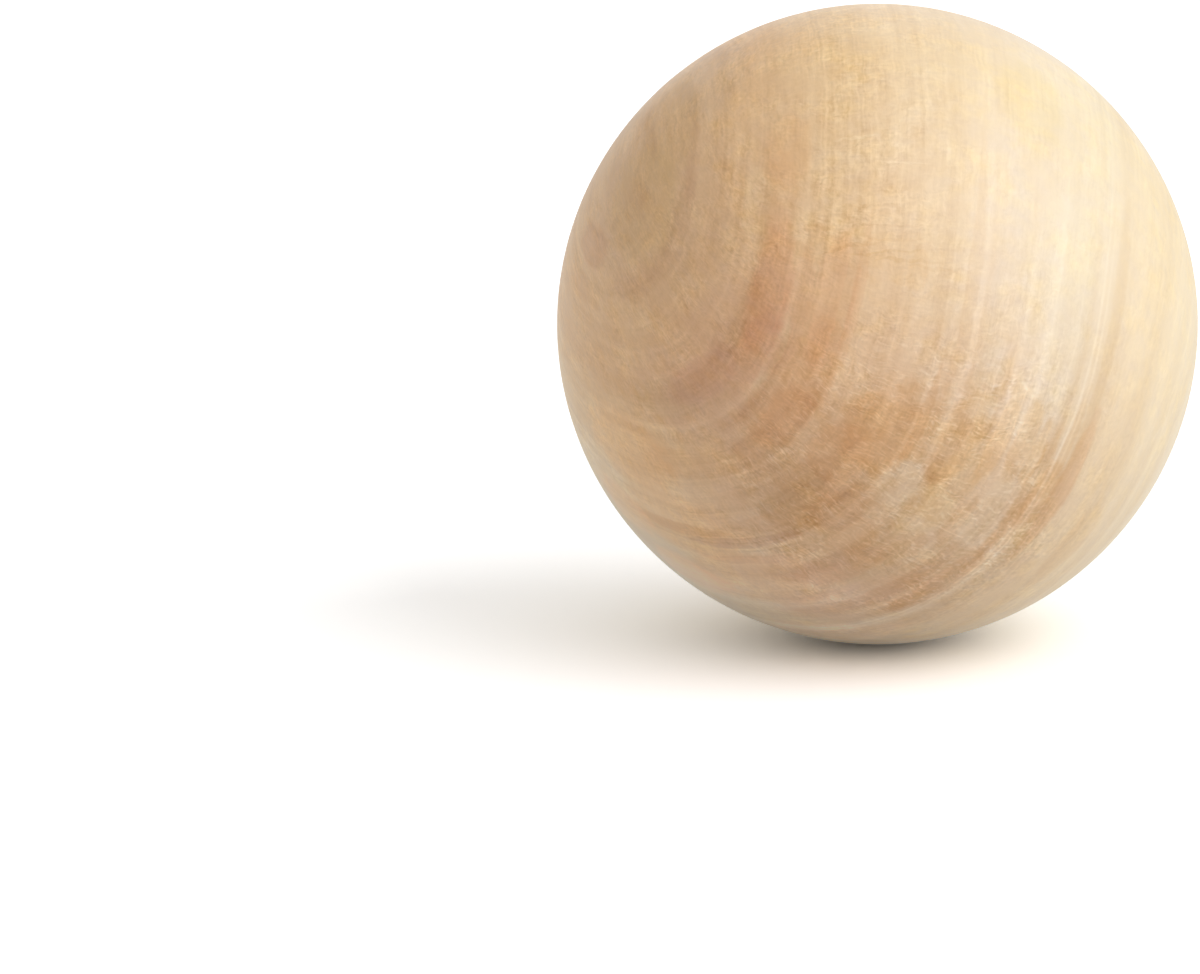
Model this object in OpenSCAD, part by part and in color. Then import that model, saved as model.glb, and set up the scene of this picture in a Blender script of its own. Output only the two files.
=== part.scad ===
// Wooden ball: one piece of pale hardwood, turned to a true sphere and sanded bare.
// It has no hole, flat, seam or finish. The origin is the ball's centre, with +Z up.

/* [Ball] */
// Diameter of the ball
ball_d = 50; // [6:1:150]

/* [Preview] */
// Number of sides that the ball shows round its middle in a preview
ball_sides = 180; // [48:12:360]

/* [Hidden] */

ball_r = ball_d / 2;

// Straw colour of bare birch or maple
wood_colour = [0.88, 0.76, 0.60];

// Half of a disc beside the lathe's axis: the outline that the turning tool follows
module turned_outline() {
    intersection() {
        circle(r = ball_r, $fn = ball_sides);
        translate([0, -ball_r]) square([ball_r, ball_d]);
    }
}

// The whole ball, revolved about the lathe's axis into one closed solid
module ball() {
    color(wood_colour)
        rotate_extrude($fn = ball_sides)
            turned_outline();
}

ball();
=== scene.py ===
# Wooden ball of bare pale hardwood: the turned ball, its grain, the floor, the light and the camera
import math

import bpy
from mathutils import Matrix, Vector


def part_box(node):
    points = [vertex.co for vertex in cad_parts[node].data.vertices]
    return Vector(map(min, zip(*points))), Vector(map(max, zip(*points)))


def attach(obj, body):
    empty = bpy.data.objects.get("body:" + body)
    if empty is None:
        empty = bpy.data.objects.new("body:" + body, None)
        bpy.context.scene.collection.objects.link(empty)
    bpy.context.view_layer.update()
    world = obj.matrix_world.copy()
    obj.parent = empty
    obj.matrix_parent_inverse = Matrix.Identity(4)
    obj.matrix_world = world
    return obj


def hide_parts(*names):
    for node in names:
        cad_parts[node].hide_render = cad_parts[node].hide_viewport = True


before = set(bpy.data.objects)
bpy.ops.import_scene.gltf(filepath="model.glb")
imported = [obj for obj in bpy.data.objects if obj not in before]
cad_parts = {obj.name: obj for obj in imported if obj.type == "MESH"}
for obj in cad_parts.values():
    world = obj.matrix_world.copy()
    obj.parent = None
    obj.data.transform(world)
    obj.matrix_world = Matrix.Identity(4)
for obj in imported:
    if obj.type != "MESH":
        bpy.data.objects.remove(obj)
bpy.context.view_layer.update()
lowCorner, highCorner = (Vector(corner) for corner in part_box("ball"))
ballCentre = (lowCorner + highCorner) / 2
ballRadius = (highCorner.z - lowCorner.z) / 2
millimetre = 0.001

# Where the photograph shows the ball, in its own pixels, and how far the camera looks down
view = {
    "imageWide": 1200,
    "imageHigh": 974,
    "ballX": 877.25,
    "ballY": 324.05,
    "ballRadius": 320.4,
    "lens": 400.0,  # mm: so long that the ball is drawn with hardly any perspective
    "sensor": 36.0,  # mm wide
    "lookDown": math.radians(12),
    "clipEnd": 50.0,  # m
}

towardCamera = Vector((0, -math.cos(view["lookDown"]), math.sin(view["lookDown"])))
upInView = Vector((0, math.sin(view["lookDown"]), math.cos(view["lookDown"])))
rightInView = Vector((1, 0, 0))


def toLinear(hexColour):
    # sRGB hex to linear
    parts = [int(hexColour[i:i + 2], 16) / 255 for i in (1, 3, 5)]
    return [p / 12.92 if p <= 0.04045 else ((p + 0.055) / 1.055) ** 2.4 for p in parts] + [1.0]


def addNode(tree, kind, inputs=None, **settings):
    # a node may be given in place of its first output
    node = tree.nodes.new("ShaderNode" + kind)
    for name, value in settings.items():
        setattr(node, name, value)
    for socket, value in (inputs or {}).items():
        if isinstance(value, bpy.types.Node):
            value = value.outputs[0]
        if isinstance(value, bpy.types.NodeSocket):
            tree.links.new(value, node.inputs[socket])
        else:
            node.inputs[socket].default_value = value
    return node


def rampOver(tree, value, stops):
    # colours at places in mm, blended between them
    start, end = stops[0][0], stops[-1][0]
    share = addNode(tree, "MapRange", {0: value, 1: start, 2: end})
    ramp = addNode(tree, "ValToRGB", {0: share})
    elements = ramp.color_ramp.elements
    for i, (place, colour) in enumerate(stops):
        spot = (place - start) / (end - start)
        stop = elements[i] if i < 2 else elements.new(spot)  # a new ramp comes with two stops
        stop.position = spot
        stop.color = colour
    return ramp


# Grain of the ball: a piece cut from the side of a trunk, so the pith lies outside it
grain = {
    "fibreTurn": math.radians(2.6),  # from straight ahead (-Y), towards +X
    "fibreDip": math.radians(21.0),  # below level
    "pith": (-36.0, 23.5),  # mm from the ball's centre, across the fibre
    "oval": -0.137,  # the trunk was wider one way
    "square": 0.046,  # and a little four-sided
    "squareTurn": math.radians(21.5),  # turns those four sides about the pith
    "arcRadius": 40.0,  # mm: where one radian about the pith is measured as an arc
    "reliefDepth": 0.016,  # mm: the most that sanding can leave pale wood below the darkest lines
}

# Growth lines: mm from the pith, tone (dark below 0), mm of fade on the pith's side and on the bark's
growthLines = [
    (17.4, -0.07, 1.0, 1.0),
    (19.6, -0.18, 1.3, 0.6),
    (21.9, -0.05, 0.8, 0.7),
    (23.9, 0.05, 1.4, 0.3),
    (24.6, -0.11, 0.35, 2.2),
    (27.5, 0.08, 0.4, 0.3),
    (28.1, -0.04, 0.3, 0.8),
    (31.1, -0.03, 1.8, 0.3),
    (31.4, -0.04, 0.25, 0.2),
    (32.0, 0.04, 0.5, 2.2),
    (34.4, -0.04, 0.8, 0.3),
    (35.8, 0.02, 0.6, 0.6),
    (37.5, -0.05, 1.2, 0.7),
    (37.8, -0.04, 0.3, 0.15),
    (39.9, 0.03, 0.5, 0.7),
    (41.5, -0.04, 1.1, 0.8),
    (43.6, 0.03, 1.0, 0.9),
    (45.8, 0.06, 0.8, 0.6),
    (47.0, -0.03, 0.5, 1.1),
    (48.7, -0.10, 0.8, 0.3),
    (49.3, 0.09, 0.16, 0.16),
    (49.75, 0.06, 0.14, 0.14),
    (50.5, -0.075, 0.6, 1.3),
    (52.6, 0.04, 0.7, 1.3),
    (54.6, -0.03, 0.7, 0.8),
    (56.5, 0.05, 1.2, 1.0),
    (57.7, -0.04, 0.3, 0.3),
    (58.2, 0.07, 0.3, 0.3),
    (59.5, -0.07, 1.0, 1.2),
]

# Patches of colour, as mineral stain and torn end grain leave them, with some of painted shade and painted
# light. Each has its middle in mm right and
# up of the ball's centre as the camera sees it, its reach in mm across the rings, round them and along
# the fibre, and what it multiplies red, green and blue by.
patches = [
    # red bands between the growth lines, and the pale gaps beside them
    ((-8.2, 2.4), (1.6, 8.0, 16.0), (0.99, 0.90, 0.88)),
    ((-9.2, -2.2), (1.6, 6.0, 8.0), (0.95, 0.89, 0.89)),
    ((-3.2, 1.6), (1.9, 7.0, 12.0), (0.99, 0.92, 0.89)),
    ((-5.6, -4.6), (1.9, 8.0, 10.0), (0.98, 0.92, 0.88)),
    ((-7.2, -7.2), (1.8, 5.0, 5.0), (0.96, 0.89, 0.82)),
    # painted shade: a broad grey darkening of the left side, where less light falls
    ((-12.0, -3.0), (5.0, 16.0, 9.0), (0.94, 0.92, 0.95)),
    ((-13.4, -4.2), (1.5, 7.0, 6.0), (0.96, 0.92, 0.97)),
    ((-11.6, -1.2), (1.0, 3.5, 5.0), (0.92, 0.90, 0.91)),
    ((-6.4, 0.4), (1.2, 8.0, 10.0), (0.98, 0.92, 0.90)),
    ((-1.5, 1.4), (0.5, 9.0, 10.0), (0.97, 0.93, 0.90)),
    ((-2.5, 1.0), (0.4, 8.0, 8.0), (1.01, 1.04, 1.05)),
    ((-9.2, 9.4), (1.2, 4.0, 5.0), (1.02, 1.07, 1.12)),
    ((-7.9, -2.6), (0.5, 5.0, 5.0), (1.02, 1.09, 1.09)),
    ((-9.4, -6.2), (0.6, 2.8, 3.0), (0.93, 0.88, 0.84)),
    ((-7.6, -12.0), (6.0, 12.0, 10.0), (0.94, 0.92, 0.91)),
    # brown, ochre and pale end grain
    ((0.4, -8.0), (3.2, 4.6, 4.0), (0.98, 0.90, 0.80)),
    ((-3.0, -10.0), (2.6, 4.0, 4.0), (0.97, 0.91, 0.85)),
    ((-1.6, -10.4), (1.4, 2.4, 2.6), (1.04, 1.07, 1.10)),
    ((-9.0, -9.8), (2.2, 4.0, 5.0), (0.93, 0.90, 0.87)),
    ((-7.4, -12.8), (3.0, 5.0, 5.0), (0.89, 0.87, 0.84)),
    ((-3.0, -14.2), (2.0, 3.4, 3.4), (0.93, 0.87, 0.83)),
    ((-2.0, -16.4), (1.6, 3.0, 4.0), (0.97, 0.91, 0.84)),
    ((5.8, -12.2), (2.0, 4.0, 4.0), (0.99, 0.95, 0.85)),
    ((-7.0, -14.2), (2.4, 2.8, 4.0), (0.95, 0.93, 0.89)),
    ((-8.2, -15.2), (1.0, 5.0, 5.0), (0.93, 0.88, 0.82)),
    ((0.0, -17.2), (2.0, 3.4, 4.0), (0.96, 0.92, 0.85)),
    ((-1.0, -18.8), (1.2, 5.0, 4.0), (0.95, 0.93, 0.88)),
    ((1.8, -12.0), (1.8, 2.8, 3.0), (1.04, 1.12, 1.22)),
    ((3.4, -14.4), (2.4, 2.8, 3.0), (1.06, 1.12, 1.15)),
    ((3.4, -7.4), (0.5, 5.0, 5.0), (0.95, 0.89, 0.82)),
    ((4.9, -7.4), (0.6, 4.0, 4.0), (1.02, 1.05, 1.08)),
    ((0.0, -7.4), (1.2, 2.4, 2.4), (0.95, 0.91, 0.84)),
    ((-3.0, -12.4), (1.6, 2.4, 2.4), (0.94, 0.89, 0.84)),
    ((-9.6, -9.4), (1.0, 3.0, 3.0), (0.95, 0.90, 0.85)),
    ((6.0, -15.4), (1.0, 2.4, 2.4), (0.94, 0.89, 0.82)),
    # lines below the end grain
    ((-15.4, -15.6), (0.8, 6.0, 6.0), (0.93, 0.87, 0.82)),
    ((-10.6, -16.9), (0.7, 8.0, 5.0), (0.88, 0.83, 0.83)),
    ((-9.0, -18.2), (0.6, 7.0, 5.0), (0.95, 0.91, 0.88)),
    ((-15.6, -10.6), (1.6, 4.0, 5.0), (0.97, 0.93, 0.88)),
    ((-3.2, -18.8), (1.8, 5.0, 5.0), (0.94, 0.89, 0.87)),
    ((2.2, -19.2), (1.6, 5.0, 5.0), (0.94, 0.92, 0.87)),
    ((0.2, -20.8), (1.0, 9.0, 6.0), (0.93, 0.87, 0.82)),
    ((4.8, -20.0), (1.4, 5.0, 5.0), (0.91, 0.82, 0.72)),
    # painted shade: a broad grey darkening low on the left, where less light falls
    ((-12.8, -7.4), (3.4, 6.0, 6.0), (0.95, 0.94, 0.96)),
    ((-16.2, -5.6), (1.8, 5.0, 5.0), (1.00, 1.04, 1.06)),
    # the pale outer wood, with streaks of ochre
    ((8.4, -4.8), (1.5, 3.6, 4.0), (1.02, 1.06, 1.10)),
    ((8.3, -7.0), (1.0, 2.4, 2.4), (0.97, 0.94, 0.86)),
    ((8.4, -14.4), (1.2, 3.6, 4.0), (1.03, 1.07, 1.11)),
    ((6.4, -8.4), (1.8, 4.6, 4.6), (1.00, 0.95, 0.86)),
    ((9.4, -8.6), (1.0, 4.0, 4.0), (0.99, 0.93, 0.82)),
    ((11.2, -9.0), (1.1, 3.6, 4.0), (0.95, 0.88, 0.76)),
    ((11.8, -12.6), (0.9, 6.0, 4.0), (0.96, 0.89, 0.79)),
    ((14.2, -12.8), (0.9, 6.0, 5.0), (0.96, 0.87, 0.79)),
    ((12.5, -13.2), (1.2, 3.0, 3.0), (0.95, 0.87, 0.77)),
    ((12.1, -10.2), (0.7, 3.0, 3.0), (0.96, 0.90, 0.80)),
    ((14.6, -9.4), (0.5, 4.0, 4.0), (0.96, 0.91, 0.83)),
    ((9.6, -16.2), (1.0, 4.0, 4.0), (0.97, 0.92, 0.87)),
    ((7.8, -17.8), (0.9, 3.6, 3.6), (1.06, 1.09, 1.13)),
    ((15.0, -17.0), (1.4, 3.6, 5.0), (0.98, 0.94, 0.88)),
    ((7.3, 2.0), (0.6, 14.0, 16.0), (0.96, 0.93, 0.89)),
    ((5.2, -4.4), (0.8, 6.0, 6.0), (0.97, 0.94, 0.90)),
    ((18.2, 0.0), (0.6, 14.0, 12.0), (0.98, 0.96, 0.92)),
    ((9.4, 8.0), (2.4, 8.0, 10.0), (1.00, 1.02, 1.07)),
    ((5.0, 2.6), (3.4, 10.0, 6.0), (1.01, 1.04, 1.08)),
    ((14.0, 1.5), (3.4, 12.0, 10.0), (1.01, 1.04, 1.07)),
    ((10.4, 4.0), (1.6, 12.0, 10.0), (1.00, 1.02, 1.05)),
    ((14.0, 8.6), (4.0, 12.0, 12.0), (0.965, 0.955, 0.93)),
    ((11.8, 17.4), (3.0, 7.0, 6.0), (0.99, 0.98, 0.90)),
    # olive wood near the pith, and the straw wood above the red bands
    ((-17.0, 9.0), (6.0, 18.0, 14.0), (0.94, 0.925, 0.93)),
    ((-11.4, 6.4), (1.4, 4.0, 5.0), (0.93, 0.92, 0.92)),
    ((-13.0, 19.4), (3.0, 8.0, 8.0), (0.91, 0.91, 0.95)),
    ((-19.6, 11.0), (2.6, 6.0, 6.0), (0.96, 0.94, 0.92)),
    ((-18.0, 9.2), (2.6, 10.0, 8.0), (0.94, 0.92, 0.82)),
    ((-16.0, 15.6), (2.2, 9.0, 8.0), (0.94, 0.92, 0.85)),
    ((-15.2, 7.6), (0.8, 9.0, 9.0), (0.95, 0.93, 0.93)),
    ((-18.6, 3.0), (0.9, 5.0, 5.0), (0.95, 0.93, 0.93)),
    ((-14.2, 12.0), (0.5, 5.0, 6.0), (0.95, 0.92, 0.91)),
    ((-22.0, 5.9), (1.2, 6.0, 4.0), (0.92, 0.85, 0.82)),
    ((-22.6, 2.6), (1.0, 4.0, 4.0), (0.95, 0.91, 0.87)),
    ((-6.8, 13.4), (2.0, 5.0, 4.0), (1.00, 0.95, 0.89)),
    ((-7.4, 9.8), (1.6, 5.0, 6.0), (1.00, 0.97, 0.95)),
    ((-4.0, 6.0), (2.4, 3.0, 1.6), (0.99, 0.96, 0.91)),
    ((3.2, 4.0), (0.9, 2.0, 2.0), (0.98, 0.94, 0.87)),
    ((1.6, 5.2), (3.0, 4.0, 1.6), (0.99, 0.97, 0.93)),
    # a painted warm glow low on the left, near its edge
    ((-19.4, -9.6), (4.0, 9.0, 6.0), (1.04, 0.97, 0.89)),
    ((-15.4, -15.4), (4.0, 9.0, 6.0), (1.04, 0.97, 0.89)),
    ((-9.0, -19.8), (4.0, 9.0, 6.0), (1.03, 0.95, 0.88)),
    # darker wood low in the middle
    ((-1.6, -21.6), (3.0, 8.0, 5.0), (0.99, 0.93, 0.90)),
    # painted light along the lower left edge and the bottom edge, paler where the floor's shadow darkens it
    ((-19.8, -13.8), (3.0, 6.0, 4.0), (1.08, 1.01, 0.96)),
    ((-14.6, -19.2), (3.0, 8.0, 4.0), (1.12, 1.05, 1.00)),
    ((-4.0, -23.9), (3.0, 8.0, 4.0), (1.14, 1.12, 1.14)),
]

# A scratch and the crosswise lines of wide rays, given as the patches are, but with clean edges
crossLines = [
    ((-1.6, 14.3), (1.8, 3.0, 0.14), (1.05, 1.09, 1.16)),
    ((-2.2, 5.9), (2.6, 3.0, 0.12), (0.96, 0.93, 0.88)),
    ((1.5, 6.4), (2.4, 3.0, 0.10), (0.97, 0.95, 0.91)),
    ((0.8, 5.5), (3.2, 3.0, 0.11), (0.96, 0.94, 0.88)),
    ((2.6, 4.8), (3.0, 3.0, 0.11), (0.96, 0.94, 0.89)),
    ((4.6, 4.2), (2.0, 3.0, 0.10), (0.97, 0.95, 0.91)),
    ((1.0, 7.6), (3.0, 3.0, 0.10), (0.97, 0.95, 0.92)),
    ((2.0, 12.4), (2.4, 3.0, 0.10), (1.04, 1.06, 1.10)),
]

fibreAxis = Vector((
    math.sin(grain["fibreTurn"]) * math.cos(grain["fibreDip"]),
    -math.cos(grain["fibreTurn"]) * math.cos(grain["fibreDip"]),
    -math.sin(grain["fibreDip"]),
))
acrossAxis = Vector((0, 0, 1)).cross(fibreAxis).normalized()
grainTurn = Matrix((acrossAxis, fibreAxis.cross(acrossAxis), fibreAxis))


def grainPlace(point):
    # ring distance, arc about the pith and place along the fibre, in mm, as the material works them out
    turned = grainTurn @ (point / millimetre)
    across = turned.x - grain["pith"][0]
    deep = turned.y - grain["pith"][1]
    angle = math.atan2(deep, across)
    shape = 1 + grain["oval"] * math.cos(2 * angle)
    shape += grain["square"] * math.cos(4 * angle + grain["squareTurn"])
    return Vector((math.hypot(across, deep) * shape, angle * grain["arcRadius"], turned.z))


def placeInView(right, up):
    # a place on the side of the ball that the camera sees, from mm right and up of its centre
    toward = math.sqrt((ballRadius / millimetre) ** 2 - right ** 2 - up ** 2)
    return (rightInView * right + upInView * up + towardCamera * toward) * millimetre


def lineTone(distance):
    tone = 0.0
    for place, depth, inside, outside in growthLines:
        fade = inside if distance < place else outside
        tone += depth * max(0.0, 1 - abs(distance - place) / fade)
    return tone


# Ball: a cube rounded into an even grid of four-sided faces, so that no pole pinches the grain
ballShape = {
    "levels": 7,  # of rounding, which makes 196,608 triangles
    "sheetAcross": 3,  # squares of the UV sheet, one for each side of the cube
    "sheetUp": 2,
    "sheetGap": 0.006,  # share of a square that stays free along each of its edges
}


def makeBall():
    bpy.ops.object.select_all(action="DESELECT")
    bpy.ops.mesh.primitive_cube_add(size=2 * ballRadius, location=ballCentre)
    ball = bpy.context.object
    ball.name = "turned_ball"
    bpy.ops.object.transform_apply(location=True, rotation=True, scale=True)

    # each side of the cube fills one square of the UV sheet
    sheet = ball.data.uv_layers[0]
    sheet.name = "OFBake"
    gap = ballShape["sheetGap"]
    corners = ((0, 0), (1, 0), (1, 1), (0, 1))
    for side in ball.data.polygons:
        row, column = divmod(side.index, ballShape["sheetAcross"])
        for loop, (cornerX, cornerY) in zip(side.loop_indices, corners):
            sheet.data[loop].uv = (
                (column + gap + cornerX * (1 - 2 * gap)) / ballShape["sheetAcross"],
                (row + gap + cornerY * (1 - 2 * gap)) / ballShape["sheetUp"],
            )

    rounding = ball.modifiers.new("rounding", "SUBSURF")
    rounding.levels = ballShape["levels"]
    rounding.render_levels = ballShape["levels"]
    bpy.ops.object.modifier_apply(modifier=rounding.name)
    casting = ball.modifiers.new("casting", "CAST")
    casting.cast_type = "SPHERE"
    casting.factor = 1.0
    casting.radius = 0.0
    casting.size = ballRadius
    casting.use_radius_as_size = False
    bpy.ops.object.modifier_apply(modifier=casting.name)

    # sanding cuts the soft wood a little deeper than the dense growth lines
    deepest = max(abs(line[1]) for line in growthLines)
    for vertex in ball.data.vertices:
        outward = (vertex.co - ballCentre).normalized()
        tone = lineTone(grainPlace(outward * ballRadius).x) / deepest
        sunk = grain["reliefDepth"] * millimetre * (0.5 + 0.5 * max(-1.0, min(1.0, tone)))
        vertex.co = ballCentre + outward * (ballRadius - sunk)
    bpy.ops.object.shade_smooth()
    return ball


# Birch or maple, turned and sanded and left bare: a soft sheen, fine pores and curved growth rings
wood = {
    "tones": [  # mm from the pith, colour of the wood there
        (14, "#cfa67b"), (20, "#deb487"), (24, "#e0b588"), (29, "#e8c397"), (33, "#eecda5"),
        (38, "#efd3af"), (44, "#f0dabd"), (49, "#edd9bb"), (51, "#ead3b2"), (54, "#ecd4b0"),
        (62, "#eed8b6"),
    ],
    "lineWarmth": 0.32,  # how much browner the growth lines are, and not just darker
    "blueWarmth": 1.5,  # how much more blue a warm tone loses than it spares of red
    "lineStretches": (15.0, 28.1, 41.2, 51.7, 61.0),  # mm from the pith, where ramps of lines meet
    "lineContrast": ((8.0, 0.4), (22.0, 1.5)),  # mm along the fibre, how strongly the lines show there
    # what the wood's colour is multiplied by, from mm along the fibre: straw on the long side of the
    # fibres, redder as they are cut across, and brown where they end
    "cutAcross": [
        (0, (1.02, 1.04, 0.97)), (8, (1.03, 1.06, 1.05)), (14, (1.04, 1.05, 1.04)),
        (19.5, (1.02, 0.98, 0.94)), (22.8, (0.97, 0.88, 0.83)), (23.8, (0.90, 0.77, 0.66)),
    ],
    "cutStray": 2.0,  # mm that those places stray, for noise of 1
    "pale": (33.0, 40.0),  # mm from the pith between which the inner wood turns to pale outer wood
    "longSide": (24.0, 14.0),  # mm along the fibre between which its ends turn to its long side
    "ends": (20.5, 23.4),  # mm along the fibre between which end grain sets in
    # each noise is given by its size in mm and its detail, and what strays by it in mm for noise of 1,
    # of which it reaches about a half
    "wanderNoise": (14.0, 2.0),
    "wanderStretch": (1.0, 1.0, 0.4),  # the rings wander more slowly along the fibre
    "wander": (0.8, 0.8, 0.0),  # how far they stray from a smooth curve
    "ragNoise": (1.6, 3.0),
    "rag": (0.5, 3.0, 4.0),  # how far the edges of patches are torn, least across the rings
    "wave": (0.5, 1.0, 0.9),  # how far the finer grain strays
    "spotNoise": (3.5, 1.0),
    "spots": ((0.3, 0.5), (0.7, 1.5)),  # level of the noise, strength of the finer grain there
    "driftNoises": ((1.0, 1.0), (3.5, 1.0)),
    "drift": (0.0455, 0.035, -0.042),  # how strongly the hue drifts, yellow against blue
    "patchEdge": 0.38,  # share of a patch's reach over which it fades out
    "bumpStrength": 0.15,
    "bumpDepth": 0.05,  # mm
    "heights": (-0.4, 0.4),  # levels of the finest grain that are smoothest and roughest
    "rough": (0.44, 0.60),
    "ior": 1.5,
    "sheen": 0.3,  # the fuzz of sanded fibres
    "sheenRough": 0.3,
}

# Finer grain: size in mm across the rings, round them and along the fibre, detail, warmth, the lowest
# level that shows (0 is the middle), and strength in the inner wood, in the pale outer wood, and where the
# fibres end
fineGrain = {
    "broad year marks": ((1.5, 40.0, 60.0), 2.0, 0.35, -1.0, (0.08, 0.03, 0.16)),
    "year marks": ((0.60, 30.0, 45.0), 2.0, 0.25, -1.0, (0.12, 0.05, 0.18)),
    "fine year marks": ((0.20, 14.0, 30.0), 1.0, 0.16, -1.0, (0.10, 0.035, 0.08)),
    "fibres": ((0.28, 0.45, 9.0), 2.0, 0.16, -1.0, (0.11, 0.075, 0.04)),
    "rays": ((0.8, 0.20, 0.32), 1.0, 0.16, -1.0, (0.11, 0.03, 0.18)),
    "pale flecks": ((0.55, 0.18, 0.42), 0.0, 0.38, 0.05, (0.10, 0.02, 0.40)),
    "pores": ((0.20, 0.24, 0.7), 1.0, 0.16, -1.0, (0.10, 0.03, 0.14)),
    "flakes": ((1.2, 1.0, 2.5), 2.0, 0.35, -1.0, (0.13, 0.04, 0.18)),
    "clouds": ((3.0, 5.0, 6.0), 3.0, 0.60, -1.0, (0.12, 0.04, 0.22)),
}
raisedGrain = ("fibres", "pores")  # what the fingers feel, so it has height as well
noiseMiddle = 0.5  # noise lies about this level
noiseSpan = 2.0  # brings noise that reaches a half from its middle to 1
greyMiddle = 0.5  # a ramp's grey for no tone, because a colour can't go below 0


def tintOf(strength, warmth):
    # darker wood loses most in blue and least in red, more so in broad patches than in fine grain
    return (strength * (1 - warmth), strength, strength * (1 + wood["blueWarmth"] * warmth))


def grainPlaces(tree):
    # mm from the pith, round it and along the fibre, with a soft wander of the rings
    turned = addNode(tree, "Mapping", {
        "Vector": addNode(tree, "TexCoord").outputs["Object"],
        "Rotation": grainTurn.to_euler("XYZ"),
        "Scale": (1 / millimetre,) * 3,
    })
    size, detail = wood["wanderNoise"]
    longWave = addNode(tree, "VectorMath", {0: turned, 1: wood["wanderStretch"]}, operation="MULTIPLY")
    noise = addNode(tree, "TexNoise", {"Vector": longWave, "Scale": 1 / size, "Detail": detail})
    centred = addNode(tree, "VectorMath", {
        0: noise.outputs["Color"],
        1: [noiseMiddle] * 3,
    }, operation="SUBTRACT")
    wandered = addNode(tree, "VectorMath", {
        0: centred,
        1: wood["wander"],
        2: turned,
    }, operation="MULTIPLY_ADD")
    fromPith = addNode(tree, "VectorMath", {0: wandered, 1: (*grain["pith"], 0)}, operation="SUBTRACT")
    across, deep, along = addNode(tree, "SeparateXYZ", {0: fromPith}).outputs
    angle = addNode(tree, "Math", {0: deep, 1: across}, operation="ARCTAN2")
    flat = addNode(tree, "CombineXYZ", {0: across, 1: deep})
    roundDistance = addNode(tree, "VectorMath", {0: flat}, operation="LENGTH").outputs["Value"]
    twice = addNode(tree, "Math", {0: angle, 1: 2.0}, operation="MULTIPLY")
    fourTimes = addNode(tree, "Math", {0: angle, 1: 4.0, 2: grain["squareTurn"]}, operation="MULTIPLY_ADD")
    oval = addNode(tree, "Math", {0: twice}, operation="COSINE")
    square = addNode(tree, "Math", {0: fourTimes}, operation="COSINE")
    shape = addNode(tree, "Math", {0: oval, 1: grain["oval"], 2: 1.0}, operation="MULTIPLY_ADD")
    shape = addNode(tree, "Math", {0: square, 1: grain["square"], 2: shape}, operation="MULTIPLY_ADD")
    distance = addNode(tree, "Math", {0: roundDistance, 1: shape}, operation="MULTIPLY")
    arc = addNode(tree, "Math", {0: angle, 1: grain["arcRadius"]}, operation="MULTIPLY")
    ringPlace = addNode(tree, "CombineXYZ", {0: distance, 1: arc, 2: along})
    fromMiddle = addNode(tree, "Math", {0: along}, operation="ABSOLUTE")
    return ringPlace, distance, fromMiddle


def growthTone(tree, distance, fromMiddle):
    # growth lines, in stretches that each fit one ramp
    edges = wood["lineStretches"]
    lines = lineTone(edges[0])
    for start, end in zip(edges, edges[1:]):
        spots = {start, end}
        for place, depth, inside, outside in growthLines:
            spots.update(spot for spot in (place - inside, place, place + outside) if start < spot < end)
        stops = [(spot, [greyMiddle + lineTone(spot)] * 3 + [1]) for spot in sorted(spots)]
        stretch = rampOver(tree, distance, stops)
        level = addNode(tree, "Math", {0: stretch, 1: greyMiddle + lineTone(start)}, operation="SUBTRACT")
        lines = addNode(tree, "Math", {0: lines, 1: level}, operation="ADD")
    # end grain shows the lines more than the long side of the fibres does
    (start, weak), (end, strong) = wood["lineContrast"]
    contrast = addNode(tree, "MapRange", {
        0: fromMiddle, 1: start, 2: end, 3: weak, 4: strong,
    }, interpolation_type="SMOOTHSTEP")
    return addNode(tree, "Math", {0: lines, 1: contrast}, operation="MULTIPLY")


def woodKinds(tree, distance, fromMiddle):
    # shares of inner wood, pale outer wood and end grain, which each show the finer grain in their own way
    shares = []
    for value, (start, end) in (
        (distance, wood["pale"]),
        (fromMiddle, wood["longSide"]),
        (fromMiddle, wood["ends"]),
    ):
        step = addNode(tree, "MapRange", {0: value, 1: start, 2: end}, interpolation_type="SMOOTHSTEP")
        shares.append(step)
    pale, longSide, ends = shares
    outer = addNode(tree, "Math", {0: pale, 1: longSide}, operation="MULTIPLY")
    inner = addNode(tree, "Math", {0: 1.0, 1: outer}, operation="SUBTRACT")
    inner = addNode(tree, "Math", {0: inner, 1: ends}, operation="SUBTRACT", use_clamp=True)
    return addNode(tree, "CombineXYZ", {0: inner, 1: outer, 2: ends})


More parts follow.
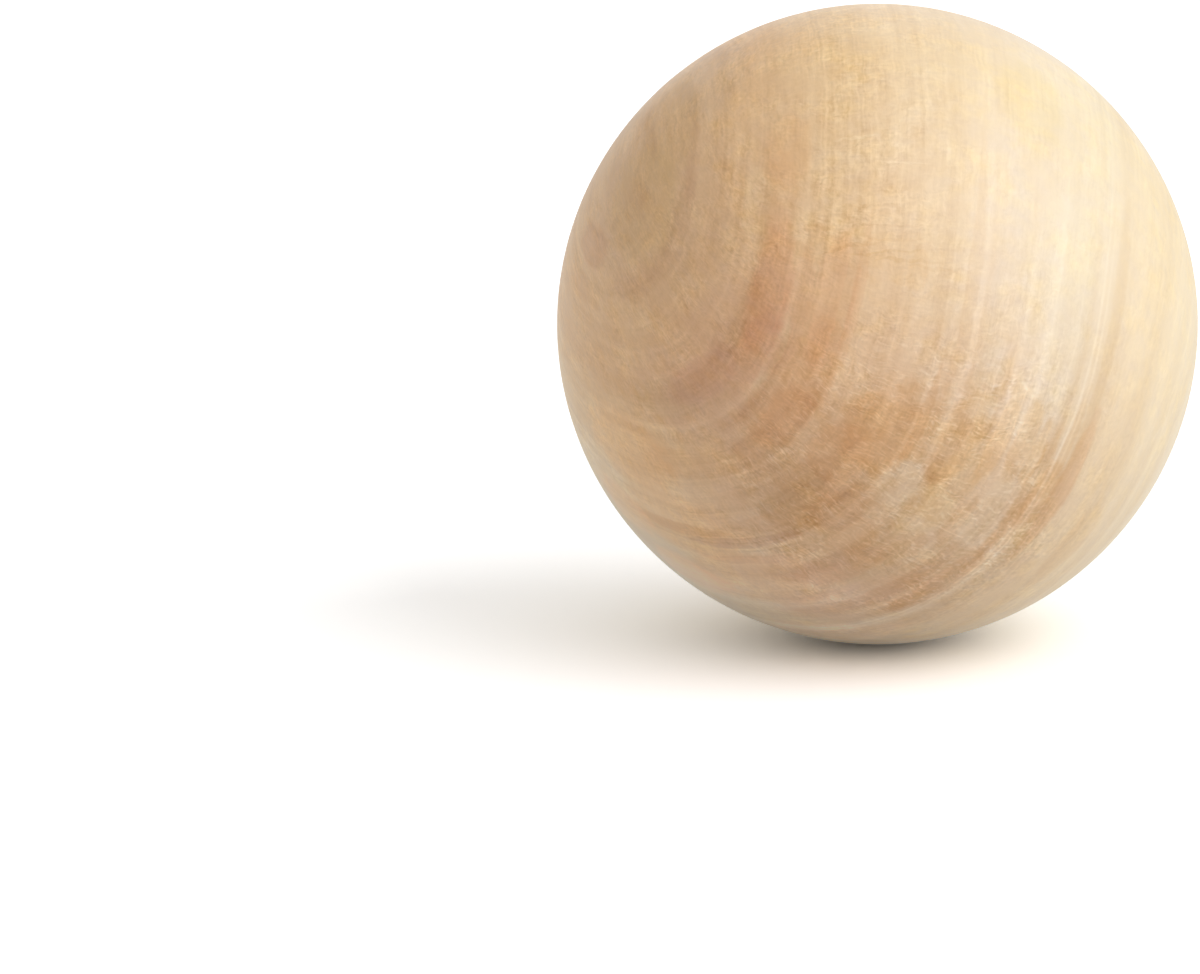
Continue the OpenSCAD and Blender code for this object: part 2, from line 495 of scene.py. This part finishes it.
def finerGrain(tree, ringPlace, wavy, kinds):
    # what the finer grain adds to each colour's weight, and its height
    tints = (0, 0, 0)
    heights = 0.0
    for title, (size, detail, warmth, lowest, strengths) in fineGrain.items():
        stretched = addNode(tree, "VectorMath", {0: wavy, 1: size}, operation="DIVIDE")
        noise = addNode(tree, "TexNoise", {"Vector": stretched, "Scale": 1.0, "Detail": detail}, label=title)
        centred = addNode(tree, "Math", {0: noise, 1: noiseMiddle}, operation="SUBTRACT")
        centred = addNode(tree, "Math", {0: centred, 1: lowest}, operation="MAXIMUM")
        centred = addNode(tree, "Math", {0: centred, 1: max(0.0, lowest)}, operation="SUBTRACT")
        strength = addNode(tree, "VectorMath", {0: kinds, 1: strengths}, operation="DOT_PRODUCT")
        amount = addNode(tree, "Math", {0: centred, 1: strength.outputs["Value"]}, operation="MULTIPLY")
        tint = tintOf(noiseSpan, warmth)
        tints = addNode(tree, "VectorMath", {0: amount, 1: tint, 2: tints}, operation="MULTIPLY_ADD")
        if title in raisedGrain:
            heights = addNode(tree, "Math", {0: heights, 1: centred}, operation="ADD")
    # the hue drifts a little between yellowish and bluish
    for size, detail in wood["driftNoises"]:
        noise = addNode(tree, "TexNoise", {"Vector": ringPlace, "Scale": 1 / size, "Detail": detail})
        centred = addNode(tree, "Math", {0: noise, 1: noiseMiddle}, operation="SUBTRACT")
        tint = [noiseSpan * part for part in wood["drift"]]
        tints = addNode(tree, "VectorMath", {0: centred, 1: tint, 2: tints}, operation="MULTIPLY_ADD")
    return tints, heights


def addMarks(tree, colour, places, marks):
    # the colour, multiplied by the tint of each patch or line near its middle
    for middle, reach, tint in marks:
        about = addNode(tree, "Mapping", {
            "Vector": places,
            "Location": grainPlace(placeInView(*middle)),
            "Scale": reach,
        }, vector_type="TEXTURE")
        near = addNode(tree, "TexGradient", {0: about}, gradient_type="SPHERICAL")
        soft = addNode(tree, "MapRange", {
            0: near.outputs["Fac"], 2: wood["patchEdge"],
        }, interpolation_type="SMOOTHSTEP")
        colour = addNode(tree, "Mix", {
            0: soft, 6: colour, 7: (*tint, 1),
        }, data_type="RGBA", blend_type="MULTIPLY").outputs[2]
    return colour


def bareWood():
    material = bpy.data.materials.new("bare_turned_hardwood")
    material.use_nodes = True
    tree = material.node_tree
    tree.nodes.clear()
    ringPlace, distance, fromMiddle = grainPlaces(tree)

    # ragged places for the patches, and wavy ones for the finer grain
    size, detail = wood["ragNoise"]
    noise = addNode(tree, "TexNoise", {"Vector": ringPlace, "Scale": 1 / size, "Detail": detail})
    rag = addNode(tree, "VectorMath", {
        0: noise.outputs["Color"],
        1: [noiseMiddle] * 3,
    }, operation="SUBTRACT")
    ragged = addNode(tree, "VectorMath", {0: rag, 1: wood["rag"], 2: ringPlace}, operation="MULTIPLY_ADD")
    wavy = addNode(tree, "VectorMath", {0: rag, 1: wood["wave"], 2: ringPlace}, operation="MULTIPLY_ADD")

    # broad colour of the wood from the pith outwards, with its growth lines
    broad = rampOver(tree, distance, [(place, toLinear(colour)) for place, colour in wood["tones"]])
    tone = growthTone(tree, distance, fromMiddle)
    lineTint = tintOf(1.0, wood["lineWarmth"])
    weight = addNode(tree, "VectorMath", {0: tone, 1: lineTint, 2: (1, 1, 1)}, operation="MULTIPLY_ADD")

    # finer grain, livelier in some spots than in others
    tints, heights = finerGrain(tree, ringPlace, wavy, woodKinds(tree, distance, fromMiddle))
    size, detail = wood["spotNoise"]
    noise = addNode(tree, "TexNoise", {"Vector": ringPlace, "Scale": 1 / size, "Detail": detail})
    (low, calm), (high, lively) = wood["spots"]
    life = addNode(tree, "MapRange", {0: noise, 1: low, 2: high, 3: calm, 4: lively})
    weight = addNode(tree, "VectorMath", {0: tints, 1: life, 2: weight}, operation="MULTIPLY_ADD")
    colour = addNode(tree, "VectorMath", {0: broad, 1: weight}, operation="MULTIPLY")

    # what the cut across the fibres does to the colour, then the patches and the lines over them
    stray = addNode(tree, "SeparateXYZ", {0: rag}).outputs[2]
    cutPlace = addNode(tree, "Math", {0: stray, 1: wood["cutStray"], 2: fromMiddle}, operation="MULTIPLY_ADD")
    cutColour = rampOver(tree, cutPlace, [(place, (*tint, 1)) for place, tint in wood["cutAcross"]])
    colour = addNode(tree, "VectorMath", {0: colour, 1: cutColour}, operation="MULTIPLY")
    colour = addMarks(tree, colour, ragged, patches)
    colour = addMarks(tree, colour, wavy, crossLines)

    bump = addNode(tree, "Bump", {
        "Height": heights,
        "Strength": wood["bumpStrength"],
        "Distance": wood["bumpDepth"] * millimetre,
    })
    (low, high), (smooth, rough) = wood["heights"], wood["rough"]
    roughness = addNode(tree, "MapRange", {0: heights, 1: low, 2: high, 3: smooth, 4: rough})
    surface = addNode(tree, "BsdfPrincipled", {
        "Base Color": colour,
        "Roughness": roughness,
        "IOR": wood["ior"],
        "Sheen Weight": wood["sheen"],
        "Sheen Roughness": wood["sheenRough"],
        "Normal": bump,
    })
    addNode(tree, "OutputMaterial", {"Surface": surface})
    return material


def seenShare(tree):
    # 1 for what the camera sees, in gloss and through glass too, and 0 for what lights the ball
    rays = addNode(tree, "LightPath").outputs
    seen = addNode(tree, "Math", {0: rays["Is Camera Ray"], 1: rays["Is Glossy Ray"]}, operation="MAXIMUM")
    return addNode(tree, "Math", {0: seen, 1: rays["Is Transmission Ray"]}, operation="MAXIMUM")


# Floor: matt white card, which the camera sees as plain white round the ball's shadow
floorLook = {
    "side": 6.0,  # m
    "givesBack": 0.58,  # share of the light on it that it sends up to the ball
    "seenAs": 1.4,  # above 1, so that it is plain white to the camera outside the shadow
}


def makeFloor():
    bpy.ops.object.select_all(action="DESELECT")
    bpy.ops.mesh.primitive_plane_add(size=floorLook["side"], location=(0, 0, lowCorner.z))
    floor = bpy.context.object
    floor.name = "pale_floor"
    material = bpy.data.materials.new("matt_white_card")
    material.use_nodes = True
    tree = material.node_tree
    tree.nodes.clear()
    white = addNode(tree, "MapRange", {
        0: seenShare(tree), 3: floorLook["givesBack"], 4: floorLook["seenAs"],
    })
    card = addNode(tree, "BsdfDiffuse", {"Color": white})
    addNode(tree, "OutputMaterial", {"Surface": card})
    floor.data.materials.append(material)


# Soft light: white all round, one broad lamp from the right, above and in front, and a weak one that
# lifts the left edge from behind. Each lamp's place is right, up and towards the camera.
light = {
    "around": 0.64,  # share of white that reaches the ball from all round
    "seenAs": 1.0,  # white, to the camera
    "lamps": {
        "key": {"strength": 0.54, "place": (0.82, 0.44, 0.42), "spread": math.radians(70)},
        "edge": {"strength": 0.10, "place": (-0.85, 0.13, -0.50), "spread": math.radians(40)},
    },
}


def makeLight():
    world = bpy.data.worlds.new("white_room")
    bpy.context.scene.world = world
    world.use_nodes = True
    tree = world.node_tree
    tree.nodes.clear()
    strength = addNode(tree, "MapRange", {0: seenShare(tree), 3: light["around"], 4: light["seenAs"]})
    room = addNode(tree, "Background", {"Color": (1, 1, 1, 1), "Strength": strength})
    addNode(tree, "OutputWorld", {"Surface": room})

    for title, settings in light["lamps"].items():
        lamp = bpy.data.lights.new(title, "SUN")
        lamp.energy = settings["strength"] * math.pi  # strength 1 lights a white face to white
        lamp.angle = settings["spread"]
        stand = bpy.data.objects.new(title, lamp)
        right, up, toward = settings["place"]
        direction = rightInView * right + upInView * up + towardCamera * toward
        stand.rotation_euler = direction.to_track_quat("Z", "Y").to_euler()
        bpy.context.scene.collection.objects.link(stand)


def makeCamera():
    data = bpy.data.cameras.new("camera")
    data.lens = view["lens"]
    data.sensor_width = view["sensor"]
    data.clip_end = view["clipEnd"]
    camera = bpy.data.objects.new("camera", data)
    bpy.context.scene.collection.objects.link(camera)
    focal = view["imageWide"] * view["lens"] / view["sensor"]
    away = ballRadius * math.hypot(focal / view["ballRadius"], 1)
    camera.location = ballCentre + towardCamera * away
    # look straight at the ball, then turn until it stands where the photograph has it
    seen = Vector((view["ballX"] - view["imageWide"] / 2, view["imageHigh"] / 2 - view["ballY"], -focal))
    straight = (-towardCamera).to_track_quat("-Z", "Y")
    turn = straight @ Vector((0, 0, -1)).rotation_difference(seen).inverted()
    camera.rotation_euler = turn.to_euler()
    bpy.context.scene.camera = camera


makeCamera()
print("camera placed")
makeLight()
makeFloor()
print("light and floor made")
ball = makeBall()
ball.data.materials.append(bareWood())
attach(ball, "root")
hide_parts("ball")
print("ball made")

bpy.context.scene.view_settings.view_transform = "Standard"
